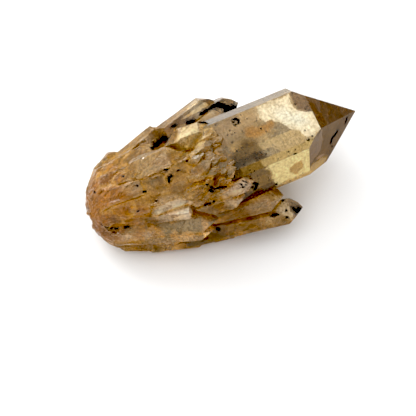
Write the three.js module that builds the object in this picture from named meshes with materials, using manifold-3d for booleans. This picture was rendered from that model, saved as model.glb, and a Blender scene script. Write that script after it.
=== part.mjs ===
// A citrine cluster: one large six-sided quartz crystal and a fan of smaller ones,
// all grown together from one broken root. Millimetres and degrees, +Z up.
// The large crystal lies along +X, its tip to the right, and the cluster rests on its underside.
import * as THREE from 'three';
import { ConvexGeometry } from 'three/addons/geometries/ConvexGeometry.js';
import { mergeVertices } from 'three/addons/utils/BufferGeometryUtils.js';
import Module from 'manifold-3d';

const wasm = await Module();
wasm.setup();

// Driving dimensions
const TIP_SLOPE = 52; // how steeply a quartz crystal's tip faces rise from the plane across its axis
const TIP_STEP = 0.3; // every other tip face starts this many girths higher and ends up smaller
const ROOT_SLOPE = 60; // how steeply the root narrows, where neighbours crowd it
const TAPER = 1; // how far the side faces lean in towards the tip
const UNEVEN = 0.12; // how unevenly the side faces stand from the axis

// The broken root: a rough lump, with a looser copy of it that the crystals are broken off at.
// A second lump fills the bed between the crystals and reaches the ground.
const LUMP = { centre: [-20.5, 3.4, 8], radii: [7.2, 8.4, 8.4], roughness: 0.06, detail: 4 };
const BED = { centre: [-8, 0.5, 8], radii: [13, 8.8, 9], roughness: 0.06, detail: 4 };
const BREAK = { ...LUMP, radii: [8.3, 9.7, 8.8], roughness: 0.02, detail: 2 };
const FLARE = { radius: 85, at: 45 }; // how far the break has opened out, and where along X

// The large crystal. Its side faces are numbered from the top one, going round towards the viewer.
const MAIN = {
  tip: [33.2, -0.5, 11.7],
  bearing: -1.3,
  rise: -3.9,
  roll: 16,
  length: 43,
  rootSlope: 38,
  girth: 8.7,
  taper: 0,
  flats: [1, 1.06, 0.95, 0.86, 0.5, 1.14], // each side face's distance from the axis, in girths
  slopes: [54.5, 62.5, 54, 53, 51, 52.5],
  cuts: [0, -1.6, -0.8, 0, -1.8, 1.4], // how far below the tip each tip face would meet the axis
  bevel: { turn: 30, reach: 1.13 }, // the narrow flat along the edge between faces 0 and 1
};

const BLUNT = [18, 30, 18, 30, 18, 30]; // the slopes of a blunt tip's faces
const FLAT = [1, 1.3, 1, 1, 1, 1.3]; // how far out the side faces of a flattened crystal stand, in girths
const BROAD = [1, 1.7, 1, 1, 1, 1.7]; // and those of one with a broad top face
const BASE = { roll: 27, rootSlope: 30 }; // the lower crystals at the broken root

// The crystals round it. Girth is from the axis to a side face, and length from the tip to the root.
const AROUND = {
  backLeft: { tip: [6.8, 14.2, 13.5], girth: 2.4, length: 26, bearing: 7, rise: 15, roll: 20 },
  backRight: { tip: [11.2, 11.6, 13], girth: 2.7, length: 22, bearing: -4, rise: 14, roll: 10 },
  leftBack: { tip: [-5.4, 13.3, 13], girth: 2.4, length: 24, bearing: 12, rise: 12, roll: 25 },
  knob: { tip: [-16.2, 13, 12.2], girth: 2, length: 12, bearing: 14, rise: 26 },
  leftFacet: { tip: [-7.3, 2.4, 20.9], girth: 2, length: 15, bearing: -14, rise: 19, roll: 21, flats: FLAT },
  leftMiddle: { tip: [-9.9, -1.1, 18.2], girth: 2, length: 16, bearing: -19, rise: 18, roll: 32, flats: FLAT },
  leftLow: { tip: [-13.9, -2.8, 15.3], girth: 2.4, length: 14, bearing: -25, rise: 19, roll: 24, flats: FLAT },
  leftTip: { tip: [-10.4, 8.9, 16.5], girth: 2, length: 16, bearing: 2, rise: 20 },
  gem: { tip: [1.4, 3.5, 22.8], girth: 2.2, length: 12, bearing: -15, rise: 17 },
  frontBroad: { tip: [-0.4, -3, 19.4], girth: 3.1, length: 24, bearing: -13, rise: 17, roll: 27, flats: BROAD },
  frontStrip: { tip: [-6.1, -6.5, 17.8], girth: 1.2, length: 14, bearing: -13, rise: 17, roll: 27 },
  finger: { tip: [-10.3, -7.9, 15], girth: 1.6, length: 18, bearing: -29, rise: 12, slopes: BLUNT },
  lowFingerBack: { tip: [-5.2, -9.9, 10.5], girth: 2.5, length: 24, bearing: -27, rise: 4 },
  lowFinger: { tip: [-6.5, -10.6, 8], girth: 2.2, length: 26, bearing: -28, rise: 4 },
  footFinger: { tip: [-12.4, -7.6, 5], girth: 1.4, length: 18, bearing: -28, rise: 1 },
  footStub: { tip: [-22.1, -2.3, 5], girth: 1.6, length: 8, bearing: -23, rise: 0 },
  footSliver: { tip: [-14.1, -6.8, 1.6], girth: 1.6, length: 14, bearing: -28, rise: -3 },
  footEnd: { tip: [-7.2, -9.6, 3], girth: 1.7, length: 16, bearing: -24, rise: 2 },
  paleUpper: { tip: [3.7, -9, 18], girth: 1.7, length: 12, bearing: -8, rise: 6 },
  paleLower: { tip: [0.9, -10.3, 16], girth: 2.1, length: 11, bearing: -14, rise: 8 },
  cream: { tip: [10, -10.9, 9], girth: 3, length: 22, bearing: -16, rise: 2 },
  dark: { tip: [12.9, -14.1, 6.2], girth: 2.6, length: 22, bearing: -16, rise: 2 },
  under: { tip: [2, -10, 2.6], girth: 2.6, length: 20, bearing: -18, rise: 2 },
  underRight: { tip: [6.2, -11.2, 2.8], girth: 2.2, length: 20, bearing: -17, rise: 1 },
  underMain: { tip: [15, 0, 2.2], girth: 2.8, length: 34, bearing: 0, rise: -1 },
  underBack: { tip: [6, 7.5, 4.5], girth: 3, length: 28, bearing: 6, rise: 0 },
  baseBack: { tip: [-12, 8.6, 14.6], girth: 3.2, length: 20, bearing: -2, rise: 17, rootSlope: 30 },
  baseTop: { tip: [-14.8, 4.2, 16.2], girth: 2.8, length: 18, bearing: -14, rise: 22, rootSlope: 30 },
  baseMiddle: { ...BASE, tip: [-13.2, 0.3, 16.6], girth: 2.8, length: 19, bearing: -18, rise: 18 },
  baseLow: { ...BASE, tip: [-13, -4.4, 13.6], girth: 2.7, length: 18, bearing: -24, rise: 15 },
  baseFoot: { ...BASE, tip: [-16, -5.4, 10.6], girth: 2.6, length: 16, bearing: -28, rise: 10 },
  block: { tip: [-16.4, 3.4, 18], girth: 1.7, length: 8, bearing: -20, rise: 26, roll: 15 },
  baseSole: { tip: [-17, -4.5, 4.2], girth: 2.6, length: 15, bearing: -30, rise: 0, rootSlope: 30 },
};

// The druse: small crystals that crowd over the large one's root.
const DRUSE = [
  [-0.1, 2.1, 24.4], [1.2, 0.3, 24], [-1.5, 0, 24.2], [0.5, -2, 23.4], [-3.9, -1.2, 23.6],
  [-1.9, -2.4, 23.4], [0.1, -4, 22.6], [-4.6, -4, 22.6], [-2.4, -5.2, 22.6], [0.7, -6.3, 21.9],
  [-5.6, -6.3, 20.8], [-4.5, -6.5, 21.4], [-2.4, -7.2, 21.6], [-6, -7.6, 19.2], [-4, -8.3, 19.8],
  [0.6, 1.2, 24.1], [-0.2, -1, 23.7], [-2.8, -0.5, 23.8], [-0.7, -3.2, 22.9], [-3.3, -3.1, 23],
  [1.2, -4.9, 22.1], [-1, -5.9, 22.1], [-3.4, -5.8, 22], [-5, -5.3, 21.8], [-1.2, -7.9, 20.8],
  [-5.2, -7.4, 20.2], [-3, -9, 18.9],
];
const DRUSE_SHAPE = { girth: 1.2, length: 7, bearing: -25, rise: 42 };
const DRUSE_SPREAD = { girth: 0.35, bearing: 25, rise: 14, roll: 30 }; // how much these vary

const radians = THREE.MathUtils.degToRad;
const SIDES = [0, 1, 2, 3, 4, 5];

// The planes that shut in a crystal whose tip is at the origin and whose axis is +Z.
function planesOf(shape) {
  const { girth, length, tip, flats, cuts, slopes = [], bevel } = shape;
  const lean = radians(shape.taper ?? TAPER);
  const narrowing = radians(shape.rootSlope ?? ROOT_SLOPE);
  const facing = (turn, slope) => new THREE.Vector3(
    Math.cos(turn) * Math.sin(slope), Math.sin(turn) * Math.sin(slope), Math.cos(slope),
  );
  const planes = [];
  for (const k of SIDES) {
    const turn = radians(60 * k);
    const slope = radians(slopes[k] ?? TIP_SLOPE);
    const flat = flats?.[k] ?? 1 + UNEVEN * Math.sin(2.4 * k + 7 * tip[0] + 3 * tip[1]);
    const cut = cuts?.[k] ?? -TIP_STEP * girth * (k % 2);
    planes.push(new THREE.Plane(facing(turn, Math.PI / 2 - lean), -girth * flat));
    planes.push(new THREE.Plane(facing(turn, slope), cut * Math.cos(slope)));
    planes.push(new THREE.Plane(facing(turn, Math.PI - narrowing), -length * Math.cos(narrowing)));
  }
  if (bevel) planes.push(new THREE.Plane(facing(radians(bevel.turn), Math.PI / 2), -girth * bevel.reach));
  return planes;
}

// The corners of the convex solid inside the planes: every point where three meet that is outside none.
function cornersOf(planes) {
  const corners = [];
  const [a, b, c] = [new THREE.Vector3(), new THREE.Vector3(), new THREE.Vector3()];
  for (let i = 0; i < planes.length; i++) {
    for (let j = i + 1; j < planes.length; j++) {
      for (let k = j + 1; k < planes.length; k++) {
        const [p, q, r] = [planes[i], planes[j], planes[k]];
        b.crossVectors(q.normal, r.normal);
        const det = p.normal.dot(b);
        if (Math.abs(det) < 1e-6) continue;
        const corner = b.clone().multiplyScalar(-p.constant);
        corner.addScaledVector(a.crossVectors(r.normal, p.normal), -q.constant);
        corner.addScaledVector(c.crossVectors(p.normal, q.normal), -r.constant);
        corner.divideScalar(det);
        const inside = planes.every((plane) => plane.distanceToPoint(corner) < 1e-5);
        const known = corners.some((other) => other.distanceTo(corner) < 1e-3);
        if (inside && !known) corners.push(corner);
      }
    }
  }
  return corners;
}

// A crystal set in place, its first side face turned to the top and then rolled towards the viewer.
function crystal(shape) {
  const tip = new THREE.Vector3(...shape.tip);
  const [bearing, rise] = [radians(shape.bearing), radians(shape.rise)];
  const axis = new THREE.Vector3(
    Math.cos(bearing) * Math.cos(rise), Math.sin(bearing) * Math.cos(rise), Math.sin(rise),
  );
  const top = new THREE.Vector3(0, 0, 1);
  top.addScaledVector(axis, -top.dot(axis)).normalize();
  const viewer = new THREE.Vector3().crossVectors(axis, top);
  const place = new THREE.Matrix4().makeBasis(top, viewer, axis).setPosition(tip);
  place.multiply(new THREE.Matrix4().makeRotationZ(radians(shape.roll ?? 0)));
  return new ConvexGeometry(cornersOf(planesOf(shape))).applyMatrix4(place);
}

function solidOf(geometry) {
  const bare = geometry.clone();
  bare.deleteAttribute('normal');
  bare.deleteAttribute('uv');
  const merged = mergeVertices(bare, 1e-4);
  return new wasm.Manifold(new wasm.Mesh({
    numProp: 3,
    vertProperties: merged.attributes.position.array,
    triVerts: new Uint32Array(merged.index.array),
  }));
}

function geometryOf(solid) {
  const mesh = solid.getMesh();
  const geometry = new THREE.BufferGeometry();
  geometry.setAttribute('position', new THREE.BufferAttribute(mesh.vertProperties, 3));
  geometry.setIndex(new THREE.BufferAttribute(mesh.triVerts, 1));
  geometry.computeVertexNormals();
  return geometry;
}

// A lump of broken quartz: a ball pulled into shape, with ripples of three sizes over it.
function lump({ centre, radii, roughness, detail }) {
  const ball = new THREE.IcosahedronGeometry(1, detail);
  const point = new THREE.Vector3();
  const places = ball.attributes.position;
  for (let i = 0; i < places.count; i++) {
    point.fromBufferAttribute(places, i).normalize();
    const { x, y, z } = point;
    const ripple = Math.sin(5 * x + 3 * y) * Math.cos(4 * z - 2 * y)
      + 0.6 * Math.sin(11 * y - 7 * z + 1) * Math.cos(9 * x + 2)
      + 0.35 * Math.sin(23 * x + 17 * z) * Math.cos(19 * y - 3);
    point.multiplyScalar(1 + roughness * ripple);
    places.setXYZ(i, point.x, point.y, point.z);
  }
  return ball.scale(...radii).translate(...centre);
}

let grown = solidOf(crystal(MAIN));
for (const shape of Object.values(AROUND)) grown = grown.add(solidOf(crystal(shape)));
DRUSE.forEach((tip, i) => {
  const shape = { tip, roll: DRUSE_SPREAD.roll * Math.sin(3 * i), length: DRUSE_SHAPE.length };
  shape.girth = DRUSE_SHAPE.girth + DRUSE_SPREAD.girth * Math.sin(5 * i + 1);
  shape.bearing = DRUSE_SHAPE.bearing + DRUSE_SPREAD.bearing * Math.sin(7 * i);
  shape.rise = DRUSE_SHAPE.rise + DRUSE_SPREAD.rise * Math.sin(11 * i + 2);
  grown = grown.add(solidOf(crystal(shape)));
});

// The crystals are broken off at the root, inside a rough cone that opens out to the right.
const rim = new THREE.CircleGeometry(FLARE.radius, 24).rotateY(Math.PI / 2).translate(FLARE.at, 0, 0);
const within = [lump(BREAK), rim].flatMap(({ attributes: { position } }) => (
  Array.from({ length: position.count }, (_, i) => new THREE.Vector3().fromBufferAttribute(position, i))
));
grown = grown.intersect(solidOf(new ConvexGeometry(within)));
grown = grown.add(solidOf(lump(LUMP))).add(solidOf(lump(BED)));

// The underside is worn flat where it rests.
const above = new THREE.BoxGeometry(160, 120, 60).translate(0, 0, 30);
grown = grown.intersect(solidOf(above));

// Pockets shut in between the crystals are filled with quartz.
const shells = grown.decompose();
grown = shells.reduce((outer, shell) => (shell.volume() > outer.volume() ? shell : outer));

const citrine = new THREE.MeshStandardMaterial({
  color: 0xc79a52,
  roughness: 0.2,
  metalness: 0,
  flatShading: true,
});
const cluster = new THREE.Mesh(geometryOf(grown), citrine);
cluster.name = 'citrine_cluster';

// The origin is at the middle of the underside.
cluster.geometry.computeBoundingBox();
const middle = cluster.geometry.boundingBox.getCenter(new THREE.Vector3());
cluster.geometry.translate(-middle.x, -middle.y, -cluster.geometry.boundingBox.min.z);

const part = new THREE.Group();
part.add(cluster);

export default part;
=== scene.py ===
# Looks of the citrine cluster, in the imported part's own frame. Metres, +X along the large crystal, +Z up.
import itertools
import math

import bpy
import numpy as np
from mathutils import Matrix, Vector


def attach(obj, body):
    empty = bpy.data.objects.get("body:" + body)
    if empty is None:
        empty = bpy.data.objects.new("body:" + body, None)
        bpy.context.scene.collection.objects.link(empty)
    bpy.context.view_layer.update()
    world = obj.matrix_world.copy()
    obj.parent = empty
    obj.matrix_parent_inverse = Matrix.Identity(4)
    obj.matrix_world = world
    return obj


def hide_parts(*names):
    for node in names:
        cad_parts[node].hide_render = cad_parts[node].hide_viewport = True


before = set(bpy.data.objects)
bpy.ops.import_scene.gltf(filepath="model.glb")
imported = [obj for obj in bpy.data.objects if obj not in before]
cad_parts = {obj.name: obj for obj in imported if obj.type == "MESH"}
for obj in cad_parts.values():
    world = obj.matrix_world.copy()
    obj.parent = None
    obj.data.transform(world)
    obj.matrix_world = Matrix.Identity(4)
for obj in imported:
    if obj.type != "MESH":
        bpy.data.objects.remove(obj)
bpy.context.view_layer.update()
scene = bpy.context.scene
mm = 0.001
print("stage: frame loaded")
seeds = {
    "facets": 11, "columns": 3, "chips": 17, "swell": 31,
    "borders": 51, "drift": 61, "zones": 71, "stain": 81,
}
tiny = 1e-12  # keeps a division from dividing by nothing


def unit(v):
    # a vector over its own length
    return v / np.maximum(np.linalg.norm(v, axis=-1, keepdims=True), tiny)


def smooth(value, low, high):
    # 0 below low, 1 above high, an S-curve between
    t = np.clip((value - low) / (high - low), 0, 1)
    return t * t * (3 - 2 * t)


# Whole numbers that scatter a cell's place over 32 bits
scatter = {
    "axes": (73856093, 19349663, 83492791), "first": 2654435761, "second": 2246822519,
    "shifts": (15, 13), "range": 2**32,
}


def randomAt(cell, seed):
    # a cell's whole numbers times large odd ones, mixed bit by bit, over their range: 0 to 1
    first, second, last = (np.uint64(k) for k in (scatter["first"], scatter["second"], scatter["range"] - 1))
    shiftOne, shiftTwo = (np.uint64(k) for k in scatter["shifts"])
    x, y, z = (cell.astype(np.int64).astype(np.uint64) * np.array(scatter["axes"], dtype=np.uint64)).T
    h = ((x ^ y ^ z) + np.uint64(seed * scatter["first"])) * first & last
    h = (h ^ (h >> shiftOne)) * second & last
    return (h ^ (h >> shiftTwo)) / scatter["range"]


# The noise lattice is turned so that no face of the cluster lies along it
latticeTurn = np.array([[0.80, 0.36, -0.48], [-0.60, 0.48, -0.64], [0.0, 0.80, 0.60]])


def latticeNoise(points, pitch, seed):
    # a random number at every corner of a turned cubic lattice, blended smoothly in between: -1 to 1
    p = points @ latticeTurn / pitch
    cell = np.floor(p)
    f = p - cell
    f = f * f * f * (f * (f * 6 - 15) + 10)
    total = np.zeros(len(points))
    for corner in itertools.product((0, 1), repeat=3):
        share = np.prod(np.where(corner, f, 1 - f), axis=1)
        total += (2 * randomAt(cell + np.array(corner), seed) - 1) * share
    return total


def layeredNoise(points, pitch, seed, layers=3):
    # noise at a pitch plus finer and weaker copies of it
    return sum(latticeNoise(points, pitch / 2**k, seed + k) / 2**k for k in range(layers))


def facetNoise(points, pitch, seed, step):
    # each point belongs to the nearest of many scattered seeds, and takes its slanted plane, step and shade
    p = points / pitch
    home = np.floor(p)
    best = np.full(len(p), np.inf)
    height, shade = np.zeros(len(p)), np.zeros(len(p))
    for near in itertools.product((-1, 0, 1), repeat=3):
        cell = home + np.array(near)
        spot = cell + np.stack([randomAt(cell, seed + k) for k in range(3)], axis=1)
        away = p - spot
        reach = (away**2).sum(axis=1)
        slant = np.stack([randomAt(cell, seed + 3 + k) for k in range(3)], axis=1) * 2 - 1
        plane = step * (randomAt(cell, seed + 6) * 2 - 1) + (away * slant).sum(axis=1)
        height = np.where(reach < best, plane, height)
        shade = np.where(reach < best, randomAt(cell, seed + 7), shade)
        best = np.minimum(reach, best)
    return height, shade


def edgesOf(tri, count):
    # every edge once, and the edge number of each triangle's three sides
    ends = np.sort(np.stack([tri, np.roll(tri, -1, axis=1)], axis=2), axis=2).reshape(-1, 2)
    keys, side = np.unique(ends[:, 0] * count + ends[:, 1], return_inverse=True)
    return np.stack([keys // count, keys % count], axis=1), side.reshape(-1, 3)


def sumAt(index, values, count):
    # the values that share an index, added up, one column at a time
    return np.stack([np.bincount(index, weights=v, minlength=count) for v in values.T], axis=1)


def pairsOf(side, count):
    # the two triangles on either side of each edge, and which edges have two
    order = np.argsort(side.reshape(-1), kind="stable")
    first = np.searchsorted(side.reshape(-1)[order], np.arange(count))
    paired = np.bincount(side.reshape(-1), minlength=count) == 2
    owner = order // 3
    return owner[first[paired]], owner[first[paired] + 1], paired


def triangleNormals(co, tri):
    # the cross product of two sides, twice the triangle's area long
    return np.cross(co[tri[:, 1]] - co[tri[:, 0]], co[tri[:, 2]] - co[tri[:, 0]])


def splitLongEdges(co, tri, parent, limit):
    # an edge over its triangles' limit gets a middle point; a triangle with 1, 2 or 3 becomes 2, 3 or 4
    ends, side = edgesOf(tri, len(co))
    longest = np.full(len(ends), np.inf)
    np.minimum.at(longest, side.reshape(-1), np.repeat(limit[parent], 3))
    cut = np.linalg.norm(co[ends[:, 0]] - co[ends[:, 1]], axis=1) > longest
    middle = np.full(len(ends), -1)
    middle[cut] = len(co) + np.arange(cut.sum())
    co = np.vstack([co, co[ends[cut]].mean(axis=1)])
    mid = middle[side]
    halves = (mid >= 0).sum(axis=1)
    # turn each triangle so that its cut sides come first
    oneCut, oneWhole = (mid >= 0).argmax(axis=1), (mid < 0).argmax(axis=1) + 1
    start = np.where(halves == 1, oneCut, np.where(halves == 2, oneWhole, 0))
    order = (start[:, None] + np.arange(3)) % 3
    a, b, c = np.take_along_axis(tri, order, axis=1).T
    p, q, r = np.take_along_axis(mid, order, axis=1).T
    one, two, three = halves == 1, halves == 2, halves == 3
    near = np.linalg.norm(co[a] - co[q], axis=1) <= np.linalg.norm(co[p] - co[c], axis=1)
    parts = [
        (halves == 0, (a, b, c)),
        (one, (a, p, c)), (one, (p, b, c)),
        (two, (p, b, q)),
        (two & near, (a, p, q)), (two & near, (a, q, c)),
        (two & ~near, (a, p, c)), (two & ~near, (p, q, c)),
        (three, (a, p, r)), (three, (p, b, q)), (three, (r, q, c)), (three, (p, q, r)),
    ]
    newTri = np.vstack([np.stack(corners, axis=1)[mask] for mask, corners in parts])
    newParent = np.concatenate([parent[mask] for mask, corners in parts])
    return co, newTri, newParent, cut.any()


def reachFrom(sources, ends, lengths, count, rounds):
    # distance along the mesh's edges from the source points, passed on from neighbour to neighbour
    reach = np.full(count, np.inf)
    reach[sources] = 0
    for _ in range(rounds):
        new = reach.copy()
        np.minimum.at(new, ends[:, 0], reach[ends[:, 1]] + lengths)
        np.minimum.at(new, ends[:, 1], reach[ends[:, 0]] + lengths)
        reach = new
    return reach


# The large crystal: side faces every 60 degrees round its axis, a narrow flat on one edge, and tip faces
largeCrystal = {
    "tip": (31.19, -0.58, 11.7),  # mm
    "bearing": -1.3, "rise": -3.9, "roll": 16,  # degrees
    "girth": 8.7,  # mm
    "flats": (1, 1.06, 0.95, 0.86, 0.5, 1.14),  # each side's reach from the axis, in girths
    "slopes": (54.5, 62.5, 54, 53, 51, 52.5),  # degrees, the tip faces
    "cuts": (0, -1.6, -0.8, 0, -1.8, 1.4),  # mm past the tip
    "bevelTurn": 30, "bevelReach": 1.13,  # degrees and girths
}


def largeCrystalPlanes(shape):
    # side faces stand evenly round the axis, and tip faces lean in from them at their slopes
    bearing, rise = math.radians(shape["bearing"]), math.radians(shape["rise"])
    axis = np.array([math.cos(bearing) * math.cos(rise), math.sin(bearing) * math.cos(rise), math.sin(rise)])
    top = unit(np.array([0, 0, 1.0]) - axis * axis[2])
    viewer = np.cross(axis, top)
    tip = np.array(shape["tip"]) * mm
    sides = len(shape["flats"])
    turns = np.radians(np.append(np.arange(sides) * 360 / sides, shape["bevelTurn"]) + shape["roll"])
    out = np.cos(turns)[:, None] * top + np.sin(turns)[:, None] * viewer
    reach = np.append(shape["flats"], shape["bevelReach"]) * shape["girth"] * mm
    slope = np.radians(shape["slopes"])[:, None]
    tipOut = out[:sides] * np.sin(slope) + axis * np.cos(slope)
    tipReach = -np.array(shape["cuts"]) * mm * np.cos(slope[:, 0])
    return tip, axis, np.vstack([out, tipOut]), np.concatenate([reach, tipReach])


# The large crystal's tones: one for each plane, then patches on them, as see-through faces show its inside,
# partly its own colour and partly painted light reflected inside it.
# A patch has its plane, how soft its edge is (mm), its tone, and an outline (back from the tip, across, mm).
largeTones = {
    "planes": {
        0: (0.50, 0.38, 0.20), 1: (0.66, 0.50, 0.21), 2: (0.42, 0.28, 0.10), 3: (0.45, 0.31, 0.13),
        4: (0.55, 0.42, 0.22), 5: (0.37, 0.31, 0.22), 6: (0.64, 0.53, 0.29),
        7: (0.115, 0.05, 0.001), 8: (0.145, 0.07, 0.006), 9: (0.30, 0.18, 0.07),
        10: (0.32, 0.20, 0.08), 11: (0.4, 0.28, 0.13), 12: (0.46, 0.39, 0.29),
    },
    "patches": (
        (0, 0.9, (0.62, 0.46, 0.26),  # beige
         ((33, -7), (23, -6.5), (23.4, -3.4), (26, -2.6), (30, -2.2), (33, -1))),
        (0, 1.5, (0.95, 0.82, 0.56),  # cream, cloudy inside and partly painted light seen through it
         ((23.2, -6.4), (14.9, -6.4), (15.6, -4.4), (15.2, -2.5), (12.3, -1.2), (10.6, 4), (14.4, 4.0),
          (16.2, 3.6), (17, 1.9), (18.8, 0.7), (19.7, -0.9), (22.2, -2.1), (23.8, -3.7))),
        (0, 1.2, (0.95, 0.88, 0.66),  # the cream's pale heart, cloudy inside and partly painted light
         ((20.5, -4.6), (17.5, -3.4), (15, -1.5), (13.8, 1), (15.6, 1.6), (17.4, -0.4), (20, -2.4))),
        (0, 0.3, (0.30, 0.21, 0.13),  # grey
         ((15, -6.6), (11, -6), (10.8, -1.2), (12.4, -1.2), (14.6, -2.1), (15.6, -3.4))),
        (0, 0.3, (0.57, 0.46, 0.26),  # band
         ((25.8, 0), (23, -0.5), (19.5, -0.8), (18.5, 1.1), (16.9, 2.2), (16.1, 4.8), (20.6, 4.8),
          (25.8, 4.8), (26.3, 2))),
        (0, 0.5, (0.60, 0.33, 0.10),  # orange veil
         ((27.4, -2.8), (24.5, -2.4), (20.8, -2), (20.5, -1.3), (23.1, -0.8), (26, -0.1), (27.7, -1))),
        (0, 0.9, (0.115, 0.08, 0.03),  # olive, painted shade reflected inside the crystal
         ((29.3, -1.2), (25.8, 0), (26.3, 2), (25.6, 4.8), (33, 4.8), (33, 1.6), (31, 0.4))),
        (1, 0.3, (0.95, 0.76, 0.36),  # bright yellow, a painted reflection of the pale floor
         ((27, -6), (27, 6), (14, 6), (14, -6))),
        (1, 0.35, (0.115, 0.066, 0.012),  # dark end of the same face, a painted reflection of the darker crystals beside it
         ((25.8, -6), (26.2, -3), (25.4, -1), (25.3, 0.6), (24.4, 2.4), (23.6, 6), (36, 6), (36, -6))),
        (1, 0.6, (0.52, 0.34, 0.12),  # its lower edge, painted shade
         ((25, 4), (22, 3.2), (18, 3.4), (14, 3.4), (14, 7), (25, 7))),
        (1, 0.25, (0.44, 0.29, 0.10),  # a stain in the yellow
         ((20.7, -0.1), (18.2, -1.3), (17.3, 0.4), (19.8, 2.2))),
        (6, 0.5, (0.24, 0.165, 0.062),  # dark end of the narrow flat
         ((27.2, -4), (26.6, 4), (36, 4), (36, -4))),
        (7, 0.7, (0.15, 0.07, 0.008),  # lighter spot on the first tip face
         ((12, -4), (9, -3), (10, 0), (12, 0))),
        (8, 0.6, (0.08, 0.036, 0.004),  # dark corner
         ((17, -5), (12, -5), (11.5, -1.5), (13, 0.6), (16.8, 1.6))),
        (8, 0.9, (0.42, 0.25, 0.04),  # gold
         ((17.5, 2.4), (14.4, 2.4), (11.5, 3.4), (10.5, 4.6), (12, 7), (17.5, 7))),
        (8, 0.2, (0.22, 0.09, 0.012),  # orange seam
         ((14, 1.5), (10.6, 3), (10.7, 3.3), (13.8, 2))),
    ),
    "border": 0.45, "borderPitch": 1.4,  # mm, how far noise moves a patch's edge, and how often
    "milky": (1, 2, 7),  # the patches that are cloudy inside, by their place in the list
    "smoky": (7, 8),  # and the planes
    "peppered": (0, 3, 6, 8),  # the patches that are full of dark dots
}


def depthInside(along, across, outline):
    # distance from the nearest side of an outline, above 0 inside it and below 0 outside
    best, inside = np.full(len(along), np.inf), np.zeros(len(along), dtype=bool)
    for (a, b), (c, d) in zip(outline, outline[1:] + outline[:1]):
        t = np.clip(((along - a) * (c - a) + (across - b) * (d - b)) / ((c - a) ** 2 + (d - b) ** 2), 0, 1)
        best = np.minimum(best, np.hypot(along - a - t * (c - a), across - b - t * (d - b)))
        if b != d:
            inside ^= ((b > across) != (d > across)) & (along < (c - a) * (across - b) / (d - b) + a)
    return np.where(inside, best, -best)


def largeTone(along, across, plane, points):
    # the plane's own tone, with each patch mixed in inside its outline, whose edge noise makes ragged
    base = np.array([largeTones["planes"][k] for k in sorted(largeTones["planes"])])
    tone = base[np.maximum(plane, 0)]
    milky = np.isin(plane, largeTones["smoky"]).astype(float)
    pepper = np.zeros(len(plane))
    for k, (face, softness, colour, outline) in enumerate(largeTones["patches"]):
        on = np.flatnonzero(plane == face)
        ragged = layeredNoise(points[on], largeTones["borderPitch"] * mm, seeds["borders"])
        depth = depthInside(along[on], across[on], outline) + ragged * largeTones["border"]
        share = smooth(depth, -softness, softness)
        tone[on] = tone[on] + (np.array(colour) - tone[on]) * share[:, None]
        milky[on] = milky[on] + ((k in largeTones["milky"]) - milky[on]) * share
        pepper[on] = pepper[on] + ((k in largeTones["peppered"]) - pepper[on]) * share
    return tone, milky, pepper


# The small crystals' tones: zones round a middle (mm), each with a radius and a tone
smallTones = {
    "honey": (0.34, 0.19, 0.041), "pale": (0.56, 0.385, 0.17), "amber": (0.34, 0.165, 0.016),
    "patchPitch": 5.5, "patchLayers": 4, "patchRange": (0.1, 0.9),  # mm, and the noise that turns honey pale
    "facetSpread": 0.45,  # how far facets differ
    "zoneShare": 0.8, "zoneEdge": (0.6, 1.15),  # how much a zone tints, and its soft edge in radii
    "zonePitch": 3.0, "zoneWarp": 0.3,  # mm and radii, how a zone's edge wanders
    "zones": (
        ((-28.5, 2.5, 12.5), 9.5, (0.41, 0.145, 0.001)),  # iron stain at the broken end
        ((-27, -1.5, 10), 3.5, (0.36, 0.17, 0.04)),
        ((-21.5, 2, 18), 2.4, (0.54, 0.37, 0.19)),
        ((1, 12, 13), 8.0, (0.33, 0.24, 0.13)),  # clear grey crystals at the back
        ((0.6, 13.3, 15), 2.4, (0.74, 0.64, 0.44)),
        ((8.4, 11.1, 13.2), 0.9, (0.8, 0.7, 0.5)),
        ((-13.3, 11.7, 14.7), 1.7, (0.66, 0.50, 0.30)),
        ((-4.5, 3.2, 23.2), 4.2, (0.84, 0.68, 0.37)), ((-7, 3.6, 23), 3.4, (0.84, 0.66, 0.33)),  # yellow gem
        ((-14.0, 2.0, 21.2), 2.2, (0.52, 0.38, 0.21)),
        ((-0.5, -9.5, 18.6), 3.4, (0.88, 0.68, 0.46)),  # pale pair
        ((-4.2, -10.1, 18.0), 3.0, (0.86, 0.64, 0.40)),
        ((-14.2, -7.8, 16.1), 2.3, (0.98, 0.86, 0.68)),  # the finger's white end, a painted highlight
        ((-17.0, -6.9, 15.5), 3.6, (0.90, 0.70, 0.44)),
        ((-12, -10, 10.5), 4.5, (0.92, 0.64, 0.34)),  # the low fingers
        ((-18, -7.5, 9.5), 5, (0.86, 0.60, 0.30)),
        ((2.5, -11.5, 11), 4.2, (0.66, 0.45, 0.23)),
        ((-4, -12, 7.5), 5.0, (0.42, 0.22, 0.04)),  # deep amber under the right
        ((5, -9, 3), 6.0, (0.36, 0.19, 0.04)),
        ((8, -13.2, 8), 3.8, (0.92, 0.74, 0.46)),
        ((-3.5, -3, 23.5), 4.8, (0.82, 0.60, 0.31)),  # druse
        ((-26.3, -4.1, 9.5), 1.6, (0.66, 0.50, 0.30)),
        ((-11.8, -11.5, 8.7), 1.5, (0.62, 0.47, 0.27)),
    ),
    "stainPitch": 1.6, "stainRange": (-0.5, 0.5),  # mm, and the noise between clean and stained
    "creviceTone": (0.66, 0.36, 0.05), "creviceReach": 1.2, "creviceShare": (0.35, 0.5),  # mm
    "ridgeWearAndHighlightTone": (0.68, 0.53, 0.34), "ridgeReach": 0.35, "ridgeWearAndHighlightShare": 0.32,  # mm; a pale tone on outward edges, partly chipped wear and partly painted highlight
}


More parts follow.
